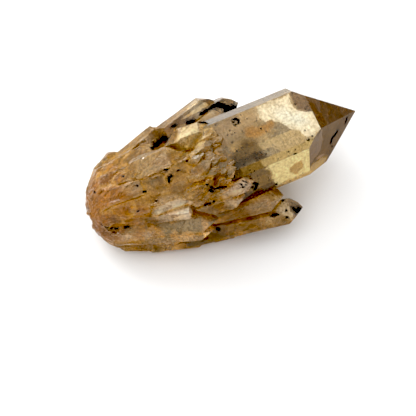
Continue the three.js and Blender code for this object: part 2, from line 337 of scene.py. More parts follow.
def smallTone(points, crevice, ridge, facetTint):
    # honey drifts to pale or amber, zones tint it, facets vary it, iron stain gathers in the crevices, and
    # outward edges get a pale tone, partly chipped wear and partly painted highlight
    looks = smallTones
    drift = layeredNoise(points, looks["patchPitch"] * mm, seeds["drift"], looks["patchLayers"])
    honey, pale, amber = (np.array(looks[k]) for k in ("honey", "pale", "amber"))
    tone = honey + (pale - honey) * smooth(drift, *looks["patchRange"])[:, None]
    tone = tone + (amber - tone) * smooth(-drift, *looks["patchRange"])[:, None]
    warp = layeredNoise(points, looks["zonePitch"] * mm, seeds["zones"]) * looks["zoneWarp"]
    for middle, radius, colour in looks["zones"]:
        away = np.linalg.norm(points - np.array(middle) * mm, axis=1) / (radius * mm) + warp
        share = looks["zoneShare"] * (1 - smooth(away, *looks["zoneEdge"]))
        tone = tone + (np.array(colour) - tone) * share[:, None]
    tone = tone * (1 + looks["facetSpread"] * (2 * facetTint - 1))[:, None]
    stain = smooth(layeredNoise(points, looks["stainPitch"] * mm, seeds["stain"]), *looks["stainRange"])
    least, more = looks["creviceShare"]
    deep = (1 - smooth(crevice, 0, looks["creviceReach"] * mm)) * (least + more * stain)
    tone = tone + (np.array(looks["creviceTone"]) - tone) * deep[:, None]
    # outward edges lightened: partly chipped wear, partly painted highlight
    wearAndHighlight = (1 - smooth(ridge, 0, looks["ridgeReach"] * mm)) * looks["ridgeWearAndHighlightShare"] * stain
    return tone + (np.array(looks["ridgeWearAndHighlightTone"]) - tone) * wearAndHighlight[:, None]


# Black oxide: each mark is a row of points (mm) and a radius (mm)
oxideMarks = (
    # the crust on the clear crystals at the back
    (((0.4, 12.0, 14.6), (1.7, 12.2, 14.5), (3.3, 12.4, 14.6)), 0.6),
    (((3.3, 12.4, 14.6), (4.6, 12.2, 14.9)), 0.85),
    (((4.6, 12.2, 14.9), (5.8, 11.1, 14.4), (6.3, 10.3, 14.1), (7.6, 10.5, 13.5)), 1.3),
    (((5.5, 10.2, 14.4), (6.4, 11.0, 14.1)), 1.1),
    (((7.6, 10.5, 13.5), (8.4, 10.6, 13.2), (9.4, 10.2, 12.9)), 0.55),
    (((-2.9, 11.8, 13.9), (-1.8, 11.5, 14.0)), 0.7), (((-1.8, 11.5, 14.0), (0.5, 10.6, 14.0)), 0.4),
    (((-3.6, 5.7, 24.1), (-3.3, 5.6, 24.0), (-2.0, 5.0, 23.4)), 0.38),
    (((-6.2, 12.7, 13.6), (-5.6, 12.6, 13.7)), 0.5),
    # the left patches
    (((-13.2, 8.5, 16.8), (-12.2, 8.9, 16.2)), 0.55),
    (((-11.6, 9.8, 14.6), (-11.1, 10.3, 13.5), (-10.3, 10.5, 13.8),
      (-9.3, 11.1, 13.5), (-8.6, 11.2, 12.9)), 1.1),
    (((-14.2, 0.9, 20.3), (-13.7, 0.7, 20.3)), 0.45),
    (((-13.4, -0.8, 19.7), (-14.1, -0.7, 19.5), (-14.3, -1.1, 19.2), (-14.5, -1.5, 18.9)), 0.36),
    # the streaks under the druse
    (((-8.5, -6.7, 21.3), (-8.3, -7.0, 21.2)), 0.28), (((-8.2, -7.8, 20.2), (-7.7, -8.3, 19.8)), 0.45),
    (((-7.9, -7.7, 21.1), (-7.2, -8.0, 20.2), (-5.9, -8.0, 19.6), (-4.7, -8.3, 19.4)), 0.4),
    (((-9.8, -8.6, 16.1), (-8.8, -9.0, 16.9)), 0.34), (((-8.1, -9.2, 17.4), (-7.9, -9.2, 17.4)), 0.28),
    (((-3.2, -8.1, 20.2), (-2.2, -7.4, 20.3)), 0.3),
    # specks on the broad faces and the left end
    (((-19.9, -0.3, 17.6), (-19.4, -0.4, 17.5)), 0.34), (((-22.2, 4.6, 18.3), (-22.0, 4.6, 18.3)), 0.32),
    (((-20.6, 1.4, 18.1), (-20.5, 1.3, 18.1)), 0.3), (((-28, 6.6, 13.7), (-28, 6.3, 13.8)), 0.34),
    (((-18.5, -3, 16.7), (-18.3, -3.1, 16.7)), 0.28), (((-22.7, -2.6, 15), (-22.3, -2.6, 15)), 0.28),
    (((-9.5, -0.1, 21.6), (-9.4, -0.2, 21.6)), 0.3), (((-12, -0.6, 20.4), (-11.6, -0.7, 20.4)), 0.26),
    (((-29.8, 0.4, 11.1), (-29.7, -0.1, 11.0)), 0.22), (((-29.4, -0.6, 11.1), (-29.3, -0.8, 11.0)), 0.25),
    (((-29.1, -1.1, 11.0), (-28.9, -1.2, 11.2)), 0.25), (((-29.2, -1.4, 10.6), (-29.1, -1.5, 10.6)), 0.2),
    (((-28.7, -1.2, 11.5), (-28.6, -1.2, 11.5)), 0.22), (((-28.4, -1.5, 10.9), (-28.1, -1.6, 11.0)), 0.3),
    (((-27.9, -1.6, 11.2), (-27.8, -1.7, 11.2)), 0.24), (((-27.7, -2.0, 11.0), (-27.2, -2.3, 11.1)), 0.28),
    (((-28.3, -2.4, 10.6), (-28.1, -2.5, 10.6)), 0.26),
    (((-25.6, -2.8, 11.5), (-25.3, -3.2, 12.0), (-25.0, -3.1, 11.8)), 0.62),
    # specks on the pale pair and beside it
    (((-1.6, -9.1, 19.2), (-1.5, -9.4, 19.2)), 0.3), (((-0.9, -8.7, 19.3), (-0.8, -8.9, 19.3)), 0.27),
    (((-1.7, -10.0, 19.3), (-1.4, -10.1, 19.3)), 0.3), (((-0.4, -9.2, 19.3), (-0.3, -9.5, 19.2)), 0.25),
    (((-2.3, -9.8, 19.4), (-2.2, -9.9, 19.4)), 0.24), (((-0.9, -9.7, 19.3), (-0.8, -9.8, 19.3)), 0.24),
    (((1.0, -8.5, 18.4), (1.3, -8.7, 18)), 0.3),
    (((1.8, -8.8, 16.2), (2.4, -9.0, 15.5), (1.8, -9.3, 14.3)), 0.55),
    (((1.2, -9, 15.3), (1.3, -9.1, 15)), 0.42), (((6.5, -9.7, 12.9), (6.8, -9.7, 12.8)), 0.36),
    # the low crystals at the right
    (((8.5, -14.4, 7.8), (8.8, -15.0, 7.5), (9.7, -14.5, 6.9)), 0.95),
    (((3.5, -13.8, 8.4), (4.7, -14.2, 8.5)), 0.5),
    (((7.2, -11.8, 8.5), (7.7, -11.4, 8.5)), 0.42), (((6.2, -15.3, 7.5), (6.4, -15.3, 7.4)), 0.42),
    (((6.6, -14.3, 8.5), (6.7, -14.2, 8.5)), 0.32), (((-7.9, -10.4, 6.8), (-7.4, -10.5, 6.6)), 0.6),
    # the large crystal
    (((3.4, 3, 23.5), (3.9, 3, 23.5), (4.15, 2.5, 23.3), (3.9, 2, 23.2)), 0.4),
    (((2.9, 2.6, 23.4), (3.0, 2.5, 23.4)), 0.34),
    (((3.0, 1.9, 23.2), (3.2, 1.8, 23.2)), 0.3), (((27.8, -2.9, 12.9), (27.2, -3.4, 12.2)), 0.6),
    (((24.3, -4.8, 12.9), (23.6, -5.2, 12.7), (22.5, -5.7, 13.0), (22.1, -6.1, 12.2)), 0.6),
    (((22.3, -6.3, 10.8), (22.3, -6.3, 10.4)), 0.28), (((11.7, -8.1, 18.9), (12.2, -8.1, 18.9)), 0.28),
    (((15.5, -7.0, 19.9), (15.9, -7.0, 19.9)), 0.25),
    # a few more on the sides that face away
    (((-18.0, 11.0, 7.0), (-16.4, 11.6, 8.0)), 0.7), (((2.0, 13.5, 10.0), (4.0, 13.8, 9.6)), 0.5),
    (((14.0, 6.0, 11.0), (15.5, 6.2, 10.4)), 0.4), (((10.0, -3.0, 4.4), (11.5, -2.6, 4.2)), 0.5),
)


def oxideAmount(points):
    # 1 on a mark's line, 0 at its radius, -1 at twice that and beyond
    best = np.full(len(points), -1.0)
    for row, radius in oxideMarks:
        for start, end in zip(row[:-1], row[1:]):
            a, b = np.array(start) * mm, np.array(end) * mm
            t = np.clip((points - a) @ (b - a) / ((b - a) @ (b - a)), 0, 1)
            away = np.linalg.norm(points - a - t[:, None] * (b - a), axis=1)
            best = np.maximum(best, 1 - away / (radius * mm))
    return best


# The cluster's surface: the solid's own faces, cut fine and worked over
surface = {
    "weld": 0.01,  # mm, points that round to the same step are one
    "planeGap": 0.03, "planeFacing": 0.999,  # mm and cosine, fit to the large crystal's planes
    "flatAngle": 1.5, "bentAngle": 14, "sharpAngle": 14,  # degrees, one flat face, a corner, a hard edge
    "ground": 0.01, "underFacing": -0.99,  # mm and cosine, what is underside
    "showEdge": 0.47, "largeEdge": 1.0, "smallEdge": 0.6,  # mm, longest edges
    "markEdge": 0.28, "underEdge": 2.5,
    "halvings": (32, 16, 8, 4, 2, 1),  # edges are cut at these multiples of their limit in turn
    "markFrom": -0.5, "markRounds": 2,  # oxide amount from which edges are cut finer, and how often
    "showing": (0, 1, 5, 6, 7, 8, 12),  # the large crystal's faces that are cut finer
    "creviceRounds": 10, "ridgeRounds": 5,  # how many edges out a corner's distance is passed on
    "heart": (-36, 5, 8), "fanScale": 30,  # mm, where the small crystals fan out from
    "columnWidth": 2.1, "columnStretch": 2.2,  # mm, and times as long, the facets along the fan
    "columnRise": 0.24, "columnStep": 0.3,  # mm, and the step between facets in rises
    "chipPitch": 1.2, "chipRise": 0.045, "chipStep": 0.4,  # mm and rises, small broken facets
    "chipShade": 0.5,  # how much the chips' own shade counts beside the columns'
    "creviceFade": 0.6,  # mm, facets flatten towards the inward corners
    "faceSwell": 0.03, "facePitch": 5.0,  # mm, the large crystal's faces
    # mm, where the small crystals have whole faces
    "clean": (((-10, -10, 9), 7), ((-18, -7, 9), 5), ((6, -12, 9), 9), ((-2, -10, 18), 4.5),
              ((-6, 3.5, 23.5), 4.5), ((2, 12.5, 13), 9), ((-15.5, -7.3, 15.7), 4.5)),
    "cleanShare": 0.85, "cleanEdge": (0.7, 1.1),  # how whole, and the soft edge in radii
    "rounding": 1, "softening": 0.2,  # rounds of smoothing on the small crystals, and how far each goes
    "glassy": (((1.5, 12.5, 13), 8.5), ((8.5, -13.3, 7.5), 3.6), ((-3.5, -3, 23.5), 4.6)),  # mm, clear faces
    "milkyFrom": 0.5, "crustFrom": 0.55,  # milky share and oxide amount from which a triangle has that finish
    "toneRange": (0.002, 0.95),  # darkest and lightest
    "faceGap": 9.0,  # mm, keeps the growth patterns of the large crystal's faces apart
}
finish = {"clear": 0, "cloudy": 1, "glassy": 2, "milky": 3, "crust": 4}  # places among the piece's materials


def weldedMesh(source):
    # the solid's loose triangles, joined at points that coincide
    mesh = source.data
    mesh.calc_loop_triangles()
    co = np.empty(len(mesh.vertices) * 3)
    mesh.vertices.foreach_get("co", co)
    tri = np.empty(len(mesh.loop_triangles) * 3, dtype=np.int32)
    mesh.loop_triangles.foreach_get("vertices", tri)
    co, tri = co.reshape(-1, 3), tri.reshape(-1, 3).astype(np.int64)
    cells = np.round(co / (surface["weld"] * mm))
    _, first, back = np.unique(cells, axis=0, return_index=True, return_inverse=True)
    tri = back.reshape(-1)[tri]
    keep = (tri[:, 0] != tri[:, 1]) & (tri[:, 1] != tri[:, 2]) & (tri[:, 2] != tri[:, 0])
    return co[first], tri[keep]


def flatFaces(co, tri, n):
    # triangles joined over nearly flat edges share a number
    ends, side = edgesOf(tri, len(co))
    left, right, _ = pairsOf(side, len(ends))
    flat = (n[left] * n[right]).sum(axis=1) > math.cos(math.radians(surface["flatAngle"]))
    number = np.arange(len(tri))
    while True:
        low = np.minimum(number[left[flat]], number[right[flat]])
        new = number.copy()
        np.minimum.at(new, left[flat], low)
        np.minimum.at(new, right[flat], low)
        new = new[new]
        if (new == number).all():
            return number
        number = new


def facetMiddles(co, tri, facet):
    # each flat face's middle: its triangles' middles, weighted by their areas
    area = np.linalg.norm(triangleNormals(co, tri), axis=1)[:, None]
    total = sumAt(facet, np.hstack([co[tri].mean(axis=1) * area, area]), len(tri))
    return (total[:, :3] / np.maximum(total[:, 3:], tiny))[facet]


def fanPlace(points):
    # distance out from the heart of the fan, and the two sideways directions at a fixed reach
    q = points - np.array(surface["heart"]) * mm
    out = np.linalg.norm(q, axis=1, keepdims=True)
    return np.hstack([out, q[:, 1:] / out * surface["fanScale"] * mm])


def nearestZone(points, zones):
    # distance from the nearest zone's middle, in that zone's radii
    away = [np.linalg.norm(points - np.array(at) * mm, axis=1) / (wide * mm) for at, wide in zones]
    return np.min(away, axis=0)


def cutSolid(tip, planes, reach):
    # the solid's triangles, told apart by the planes they lie in, then halved until no edge is over its limit
    co, tri = weldedMesh(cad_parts["citrine_cluster"])
    n = unit(triangleNormals(co, tri))
    facet = flatFaces(co, tri, n)
    # a triangle is the large crystal's if it lies in one of its planes and outside none
    away = (co[tri].mean(axis=1) - tip) @ planes.T - reach
    onPlane = away.argmax(axis=1)
    near = np.abs(away.max(axis=1)) < surface["planeGap"] * mm
    large = near & ((n * planes[onPlane]).sum(axis=1) > surface["planeFacing"])
    plane = np.where(large, onPlane, -1)
    under = co[tri][:, :, 2].max(axis=1) < surface["ground"] * mm
    limit = np.where(large, surface["largeEdge"], surface["smallEdge"])
    limit = np.where(np.isin(plane, surface["showing"]), surface["showEdge"], limit)
    limit = np.where(under, surface["underEdge"], limit) * mm
    facetTint = np.random.default_rng(seeds["facets"]).random(len(tri))[facet]
    inGlassy = nearestZone(facetMiddles(co, tri, facet), surface["glassy"]) < 1
    look = np.where(inGlassy, finish["glassy"], finish["cloudy"])
    look = np.where(large, finish["clear"], look)
    parent = np.arange(len(tri))
    for halvings in surface["halvings"]:
        more = True
        while more:
            co, tri, parent, more = splitLongEdges(co, tri, parent, limit * halvings)
    for _ in range(surface["markRounds"]):
        marked = oxideAmount(co[tri].mean(axis=1)) > surface["markFrom"]
        fine = np.where(marked, surface["markEdge"] * mm, np.inf)
        co, tri, older, _ = splitLongEdges(co, tri, np.arange(len(tri)), fine)
        parent = parent[older]
    print("stage: cluster cut to", len(co), "points and", len(tri), "triangles")
    return co, tri, plane[parent], n[parent], facetTint[parent], look[parent]


def cornerDistances(co, tri, n):
    # each point's distance along the edges from the inward and the outward corners between the solid's faces
    ends, side = edgesOf(tri, len(co))
    left, right, paired = pairsOf(side, len(ends))
    bent = (n[left] * n[right]).sum(axis=1) < math.cos(math.radians(surface["bentAngle"]))
    inward = ((co[tri[right]].mean(axis=1) - co[tri[left]].mean(axis=1)) * n[left]).sum(axis=1) > 0
    lengths = np.linalg.norm(co[ends[:, 0]] - co[ends[:, 1]], axis=1)
    inner, outer = (ends[paired][bent & kind].reshape(-1) for kind in (inward, ~inward))
    crevice = reachFrom(inner, ends, lengths, len(co), surface["creviceRounds"])
    ridge = reachFrom(outer, ends, lengths, len(co), surface["ridgeRounds"])
    return ends, crevice, ridge


def workedSurface(co, tri, plane, n, ends, crevice):
    # points move to their neighbours' mean, then along the normals by columns, chips and a faint swell
    marks = np.stack([plane >= 0, n[:, 2] < surface["underFacing"], np.ones(len(tri))], axis=1).astype(float)
    share = sum(sumAt(tri[:, k], marks, len(co)) for k in range(3))
    ofLarge, ofUnder = share[:, 0] / share[:, 2], share[:, 1] / share[:, 2]
    ofSmall = (1 - ofLarge) * (1 - ofUnder)
    count = np.bincount(ends.reshape(-1), minlength=len(co))[:, None]
    for _ in range(surface["rounding"]):
        total = sumAt(ends[:, 0], co[ends[:, 1]], len(co)) + sumAt(ends[:, 1], co[ends[:, 0]], len(co))
        co = co + (total / count - co) * (surface["softening"] * ofSmall**2)[:, None]

    drawn = fanPlace(co) / np.array([surface["columnStretch"], 1, 1])
    width, pitch = surface["columnWidth"] * mm, surface["chipPitch"] * mm
    columns, columnShade = facetNoise(drawn, width, seeds["columns"], surface["columnStep"])
    chips, chipShade = facetNoise(co, pitch, seeds["chips"], surface["chipStep"])
    swell = layeredNoise(co, surface["facePitch"] * mm, seeds["swell"])
    clean = 1 - smooth(nearestZone(co, surface["clean"]), *surface["cleanEdge"])
    broken = 1 - surface["cleanShare"] * clean
    small = surface["columnRise"] * columns + surface["chipRise"] * chips
    push = small * broken * ofSmall * smooth(crevice, 0, surface["creviceFade"] * mm)
    push = push + surface["faceSwell"] * swell * ofLarge
    weight = surface["chipShade"]
    shade = 0.5 + ((columnShade + weight * chipShade) / (1 + weight) - 0.5) * broken
    total = sum(sumAt(tri[:, k], triangleNormals(co, tri), len(co)) for k in range(3))
    co = co + unit(total) * (push * mm)[:, None]
    co[:, 2] = np.maximum(co[:, 2], 0)
    return co, shade


def clusterPiece():
    # the cut and worked mesh, with tones and growth directions at its corners and oxide at its points
    tip, axis, planes, reach = largeCrystalPlanes(largeCrystal)
    co, tri, plane, n, facetTint, look = cutSolid(tip, planes, reach)
    ends, crevice, ridge = cornerDistances(co, tri, n)
    oxide = oxideAmount(co)
    co, shade = workedSurface(co, tri, plane, n, ends, crevice)
    mesh = bpy.data.meshes.new("citrineCrystals")
    mesh.from_pydata(co, [], tri)
    piece = bpy.data.objects.new("citrineCrystals", mesh)
    scene.collection.objects.link(piece)
    print("stage: cluster worked over")

    # every triangle's corners have their own tone, so that a face keeps its tone up to the edge
    corner = tri.reshape(-1)
    at, onFace = co[corner], np.repeat(plane, 3)
    firstTip = len(largeCrystal["flats"]) + 1  # the sides and the narrow flat come before the tip faces
    out = planes[np.where(onFace >= firstTip, onFace - firstTip, np.maximum(onFace, 0))]
    along = -(at - tip) @ axis / mm
    across = ((at - tip) * np.cross(axis, out)).sum(axis=1) / mm
    isLarge = (onFace >= 0)[:, None]
    inLarge, milky, pepper = largeTone(along, across, onFace, at)
    tint = (np.repeat(facetTint, 3) + shade[corner]) / 2
    tone = np.where(isLarge, inLarge, smallTone(at, crevice[corner], ridge[corner], tint))
    isMilky = (plane >= 0) & (milky.reshape(-1, 3).mean(axis=1) > surface["milkyFrom"])
    look = np.where(isMilky, finish["milky"], look)
    look = np.where(oxide[tri].mean(axis=1) > surface["crustFrom"], finish["crust"], look)
    onLarge = np.stack([along, across, onFace * surface["faceGap"]], axis=1)
    growth = np.where(isLarge, onLarge, fanPlace(at) / mm)
    rgba = np.hstack([np.clip(tone, *surface["toneRange"]), pepper[:, None]])  # alpha holds the pepper
    for name, kind, domain, field, values in (
        ("tone", "FLOAT_COLOR", "CORNER", "color", rgba),
        ("growth", "FLOAT_VECTOR", "CORNER", "vector", growth),
        ("oxide", "FLOAT", "POINT", "value", oxide),
    ):
        attribute = mesh.attributes.new(name, kind, domain)
        attribute.data.foreach_set(field, values.astype(np.float32).reshape(-1))
    mesh.polygons.foreach_set("material_index", look.astype(np.int32))
    mesh.shade_smooth()
    mesh.set_sharp_from_angle(angle=math.radians(surface["sharpAngle"]))
    mesh.update()
    return piece


# Shader nodes
def newGroup(name, inputs, outputs):
    # an empty node group with its named inputs, each with a kind and a value, and its named outputs
    group = bpy.data.node_groups.new(name, "ShaderNodeTree")
    for label, kind, value in inputs:
        socket = group.interface.new_socket(name=label, in_out="INPUT", socket_type=kind)
        socket.default_value = value
    for label, kind in outputs:
        group.interface.new_socket(name=label, in_out="OUTPUT", socket_type=kind)
    return group, group.nodes.new("NodeGroupInput"), group.nodes.new("NodeGroupOutput")


def addNode(tree, kind, settings=(), values=(), links=()):
    # a node with its settings, plain socket values and incoming links, each by name or number
    node = tree.nodes.new(kind)
    for name, value in dict(settings).items():
        setattr(node, name, value)
    for socket, value in dict(values).items():
        node.inputs[socket].default_value = value
    for socket, source in dict(links).items():
        tree.links.new(source, node.inputs[socket])
    return node


def mathNode(tree, operation, a, b=None, clamp=False):
    # one sum on two values, each a socket or a number
    node = addNode(tree, "ShaderNodeMath", {"operation": operation, "use_clamp": clamp})
    for k, value in enumerate((a, b)):
        if isinstance(value, (int, float)):
            node.inputs[k].default_value = value
        elif value is not None:
            tree.links.new(value, node.inputs[k])
    return node.outputs[0]


def noiseNode(tree, vector, scale, detail, roughness):
    # layered noise on a vector, about 0.25 to 0.75
    values = {"Scale": scale, "Detail": detail, "Roughness": roughness}
    return addNode(tree, "ShaderNodeTexNoise", values=values, links={"Vector": vector}).outputs["Fac"]


def cellNode(tree, vector, scale):
    # scattered cells on a vector: each cell's own random number, and the distance from its middle
    values = {"Scale": scale, "Randomness": 1.0}
    cells = addNode(tree, "ShaderNodeTexVoronoi", values=values, links={"Vector": vector})
    number = addNode(tree, "ShaderNodeSeparateColor", links={0: cells.outputs["Color"]}).outputs[0]
    return number, cells.outputs["Distance"]


def stretched(tree, vector, factors):
    # a vector times a factor along each of its directions
    node = addNode(tree, "ShaderNodeVectorMath", {"operation": "MULTIPLY"}, links={0: vector, 1: factors})
    return node.outputs[0]


def rescale(tree, value, fromRange, toRange, curve="LINEAR"):
    # one range of a value carried over to another, straight or along a curve
    values = dict(zip(("From Min", "From Max", "To Min", "To Max"), (*fromRange, *toRange)))
    node = addNode(tree, "ShaderNodeMapRange", {"interpolation_type": curve}, values, {"Value": value})
    return node.outputs["Result"]


def rampBetween(tree, value, low, high):
    # 0 below low, 1 above high, an S-curve between
    return rescale(tree, value, (low, high), (0.0, 1.0), "SMOOTHSTEP")


def swing(tree, value, amount):
    # how far a value is from its middle, 0.5, times an amount
    return mathNode(tree, "MULTIPLY", mathNode(tree, "SUBTRACT", value, 0.5), amount)


def lessBy(tree, whole, value, share):
    # a whole less a share of a value
    return mathNode(tree, "SUBTRACT", whole, mathNode(tree, "MULTIPLY", value, share))


def blend(tree, a, shareA, b, shareB):
    # two values added, each times its share
    return mathNode(tree, "ADD", mathNode(tree, "MULTIPLY", a, shareA), mathNode(tree, "MULTIPLY", b, shareB))


def mixColour(tree, share, a, b, mode="MIX"):
    # two colours mixed by a share, each a socket or a colour
    node = addNode(tree, "ShaderNodeMix", {"data_type": "RGBA", "blend_type": mode, "clamp_result": True})
    for socket, value in ((0, share), (6, a), (7, b)):
        if isinstance(value, (int, float, tuple)):
            node.inputs[socket].default_value = value
        else:
            tree.links.new(value, node.inputs[socket])
    return node.outputs[2]


# Shared effects. A noise has its scale (per metre on places, per mm on growth), its detail and its roughness.
veilNoise = {
    "broad": (420, 5, 0.65), "wisps": (1.0, 5, 0.65), "fine": (1900, 2, 0.5), "grains": 1.0,
    "broadShare": 0.45, "wispShare": 0.55, "cloudRange": (0.35, 0.65),
}


def veilsGroup():
    # the tone times clouds, wisps drawn out along growth, a fine mottle, and grains with a shade each
    tree, start, end = newGroup("veils", (
        ("Tone", "NodeSocketColor", (0.5, 0.3, 0.1, 1)), ("Place", "NodeSocketVector", (0, 0, 0)),
        ("Growth", "NodeSocketVector", (0, 0, 0)), ("Depth", "NodeSocketFloat", 0.3),
        ("Stretch", "NodeSocketVector", (0.2, 1, 1)), ("Mottle", "NodeSocketFloat", 0.2),
        ("Grain", "NodeSocketFloat", 0.2), ("Grain Stretch", "NodeSocketVector", (0.4, 1, 1)),
    ), (("Tone", "NodeSocketColor"), ("Cloud", "NodeSocketFloat")))
    tone, place, growth, depth, stretch, mottle, grain, grainStretch = start.outputs[:8]
    broad = noiseNode(tree, place, *veilNoise["broad"])
    wisps = noiseNode(tree, stretched(tree, growth, stretch), *veilNoise["wisps"])
    fine = noiseNode(tree, place, *veilNoise["fine"])
    shade, _ = cellNode(tree, stretched(tree, growth, grainStretch), veilNoise["grains"])
    cloud = blend(tree, broad, veilNoise["broadShare"], wisps, veilNoise["wispShare"])
    gain = mathNode(tree, "ADD", swing(tree, cloud, depth), swing(tree, fine, mottle))
    gain = mathNode(tree, "ADD", mathNode(tree, "ADD", gain, swing(tree, shade, grain)), 1.0)
    grey = addNode(tree, "ShaderNodeCombineColor", links={0: gain, 1: gain, 2: gain}).outputs[0]
    tree.links.new(mixColour(tree, 1.0, tone, grey, "MULTIPLY"), end.inputs["Tone"])
    tree.links.new(cloud, end.inputs["Cloud"])
    return tree


oxideNoise = {
    "edge": (3400, 3, 0.6), "ragged": 4.0, "cut": (0.1, 0.24),  # a mark's ragged edge
    "speckScale": 1300.0, "rarity": 0.68, "speckEdge": (-0.02, 0.03),
    "flock": (160, 2, 0.55), "flockCut": (0.42, 0.6), "beside": (-0.98, -0.1),  # where specks gather
    "pepperMore": 0.33, "pepperSmaller": 0.3, "pepperFainter": 0.35,
}


def oxideGroup():
    # a mark's amount plus noise, cut off sharply, and specks round the marks and where a broad noise is high
    tree, start, end = newGroup("oxide", (
        ("Amount", "NodeSocketFloat", 0.0), ("Place", "NodeSocketVector", (0, 0, 0)),
        ("Specks", "NodeSocketFloat", 0.5), ("Pepper", "NodeSocketFloat", 0.0),
    ), (("Mask", "NodeSocketFloat"),))
    amount, place, specks, pepper = start.outputs[:4]
    ragged = swing(tree, noiseNode(tree, place, *oxideNoise["edge"]), oxideNoise["ragged"])
    mark = rampBetween(tree, mathNode(tree, "ADD", amount, ragged), *oxideNoise["cut"])
    chance, away = cellNode(tree, place, oxideNoise["speckScale"])
    rarity = lessBy(tree, oxideNoise["rarity"], pepper, oxideNoise["pepperMore"])
    size = mathNode(tree, "SUBTRACT", chance, rarity, True)
    size = mathNode(tree, "MULTIPLY", size, lessBy(tree, 1.0, pepper, oxideNoise["pepperSmaller"]))
    flock = rampBetween(tree, noiseNode(tree, place, *oxideNoise["flock"]), *oxideNoise["flockCut"])
    gathered = mathNode(tree, "MAXIMUM", flock, rampBetween(tree, amount, *oxideNoise["beside"]))
    gathered = mathNode(tree, "MAXIMUM", gathered, pepper)
    reach = mathNode(tree, "MULTIPLY", mathNode(tree, "MULTIPLY", size, gathered), specks)
    speck = rampBetween(tree, mathNode(tree, "SUBTRACT", reach, away), *oxideNoise["speckEdge"])
    faint = mathNode(tree, "MULTIPLY", speck, lessBy(tree, 1.0, pepper, oxideNoise["pepperFainter"]))
    tree.links.new(mathNode(tree, "MAXIMUM", mark, faint, True), end.inputs["Mask"])
    return tree


veinNoise = {
    "detail": 4, "roughness": 0.55,
    # scale, width, and the inputs for strength and colour
    "lines": ((1.0, 0.02, "Seams", "Seam Tone"), (1.7, 0.014, "Glints", "Glint Tone")),
}


def veinsGroup():
    # thin lines where a noise crosses its middle value, one noise for stained seams and one for glints
    tree, start, end = newGroup("veins", (
        ("Tone", "NodeSocketColor", (0.5, 0.3, 0.1, 1)), ("Growth", "NodeSocketVector", (0, 0, 0)),
        ("Stretch", "NodeSocketVector", (0.2, 0.6, 0.6)), ("Seams", "NodeSocketFloat", 0.5),
        ("Glints", "NodeSocketFloat", 0.4), ("Seam Tone", "NodeSocketColor", (0.3, 0.13, 0.01, 1)),
        ("Glint Tone", "NodeSocketColor", (0.9, 0.8, 0.6, 1)),
    ), (("Tone", "NodeSocketColor"),))
    drawn = stretched(tree, start.outputs["Growth"], start.outputs["Stretch"])
    tone = start.outputs["Tone"]
    for scale, width, strength, colour in veinNoise["lines"]:
        noise = noiseNode(tree, drawn, scale, veinNoise["detail"], veinNoise["roughness"])
        off = mathNode(tree, "ABSOLUTE", mathNode(tree, "SUBTRACT", noise, 0.5))
        line = mathNode(tree, "MULTIPLY", rampBetween(tree, off, width, 0.0), start.outputs[strength])
        tone = mixColour(tree, line, tone, start.outputs[colour])
    tree.links.new(tone, end.inputs["Tone"])
    return tree


striaeNoise = {"lines": (1.0, 3, 0.6), "pits": (1800, 3, 0.6), "lineShare": 0.7, "pitShare": 0.3}


def striaeGroup():
    # fine growth lines, noise drawn out one way and packed tight the other, and small pits
    tree, start, end = newGroup("striae", (
        ("Growth", "NodeSocketVector", (0, 0, 0)), ("Stretch", "NodeSocketVector", (0.1, 2, 2)),
        ("Place", "NodeSocketVector", (0, 0, 0)),
    ), (("Height", "NodeSocketFloat"),))
    growth, stretch, place = start.outputs[:3]
    lines = noiseNode(tree, stretched(tree, growth, stretch), *striaeNoise["lines"])
    pits = noiseNode(tree, place, *striaeNoise["pits"])
    height = blend(tree, lines, striaeNoise["lineShare"], pits, striaeNoise["pitShare"])
    tree.links.new(height, end.inputs["Height"])
    return tree


shared = {"veils": veilsGroup(), "oxide": oxideGroup(), "striae": striaeGroup(), "veins": veinsGroup()}
print("stage: shared effects built")

# Finishes of the quartz. A gloss is the roughness where it is clear and where it is cloudy; depths in metres.
clearCitrine = {
    "transmission": 0.72, "ior": 1.544, "glow": (0.95, 0.80, 0.40, 1), "density": 60, "sheen": 0.08,
    "veilDepth": 1.2, "veilStretch": (2.2, 0.35, 0.2), "mottle": 1.4,
    "grain": 0.0, "grainStretch": (1, 1, 1), "specks": 1.0,
    "veinStretch": (0.22, 0.22, 0.2), "seams": 0.2, "glints": 0.08,
    "striae": (3.2, 0.10, 0.1), "relief": 0.05, "reliefDepth": 0.00012, "gloss": (0.01, 0.07),
}
milkyCitrine = dict(clearCitrine, transmission=0.4, sheen=0.04)
cloudyCitrine = {
    "transmission": 0.66, "ior": 1.544, "glow": (0.93, 0.74, 0.30, 1), "density": 60, "sheen": 0.14,
    "veilDepth": 0.9, "veilStretch": (0.35, 1.8, 1.8), "mottle": 1.6,
    "grain": 0.2, "grainStretch": (0.5, 1.2, 1.2), "specks": 0.6,
    "veinStretch": (0.09, 0.2, 0.2), "seams": 0.5, "glints": 0.15,
    "striae": (0.14, 2.2, 2.2), "relief": 0.12, "reliefDepth": 0.0002, "gloss": (0.06, 0.22),
}
glassyCitrine = {
    "transmission": 0.78, "ior": 1.544, "glow": (0.95, 0.80, 0.45, 1), "density": 70, "sheen": 0.3,
    "veilDepth": 1.8, "veilStretch": (0.3, 2.2, 2.2), "mottle": 1.0,
    "grain": 0.3, "grainStretch": (0.4, 1.0, 1.0), "specks": 0.8,
    "veinStretch": (0.15, 0.4, 0.4), "seams": 0.4, "glints": 0.5,
    "striae": (0.14, 2.2, 2.2), "relief": 0.08, "reliefDepth": 0.00015, "gloss": (0.02, 0.1),
}
oxideFilm = {"tone": (0.006, 0.005, 0.004, 1), "rough": 0.55}  # thin oxide on the quartz


def newMaterial(name):
    # an empty material, its node tree and its shader
    material = bpy.data.materials.new(name)
    material.use_nodes = True
    return material, material.node_tree, material.node_tree.nodes["Principled BSDF"]


def addEffect(tree, name, values, links):
    # a shared effect placed in a material, with the material's own values
    return addNode(tree, "ShaderNodeGroup", {"node_tree": shared[name]}, values, links)


